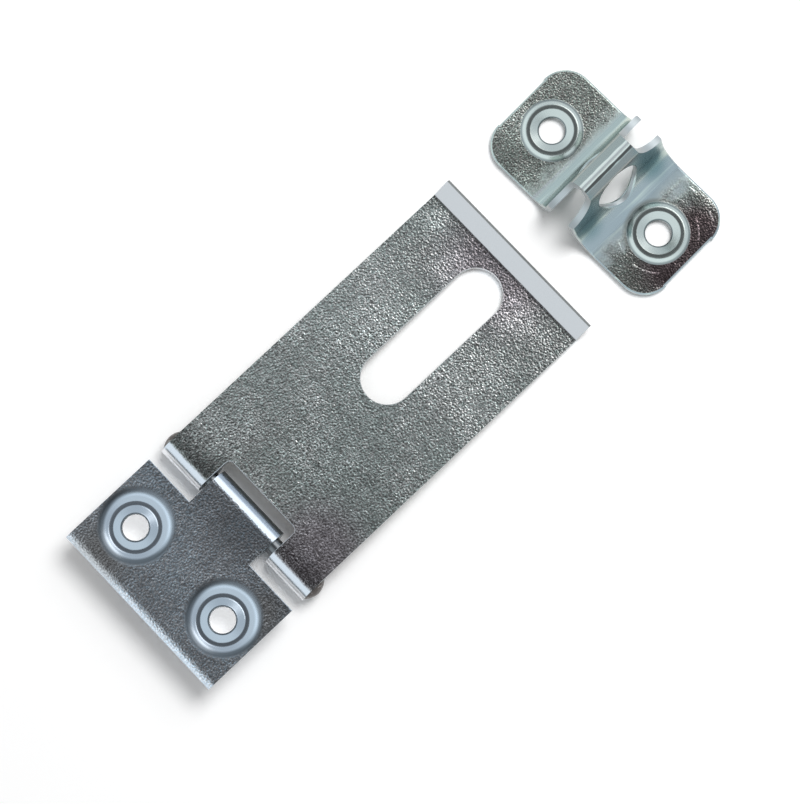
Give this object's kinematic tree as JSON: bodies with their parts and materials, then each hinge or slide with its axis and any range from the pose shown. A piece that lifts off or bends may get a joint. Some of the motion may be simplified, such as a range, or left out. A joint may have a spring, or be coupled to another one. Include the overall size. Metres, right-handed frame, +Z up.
{
  "type": "hasp",
  "caption": "Pressed-steel slotted hasp, opened out straight, with the matching staple whose ridge takes a padlock.",
  "frame": {"origin": "the middle of the whole footprint, on the table that the hasp and its staple lie on", "axes": "+Z up; +X from the fixed leaf along the strap to its lip and on to the staple; Y along the hinge pin"},
  "size_m": [0.1274, 0.0432, 0.0142],
  "materials": {
    "plated_sheet": "satin",
    "plated_wire": "satin"
  },
  "bodies": {
    "leaf_and_staple": {"fixed_leaf": "plated_sheet", "staple": "plated_sheet"},
    "strap_and_pin": {"hasp_strap": "plated_sheet", "hinge_pin": "plated_wire"}
  },
  "joints": [
    {"name": "hinge", "type": "hinge", "parent": "leaf_and_staple", "child": "strap_and_pin", "pos_m": [-0.038, 0.0013, 0.00295], "axis": [0, -1, 0], "range_deg": [-180, 117]}
  ]
}
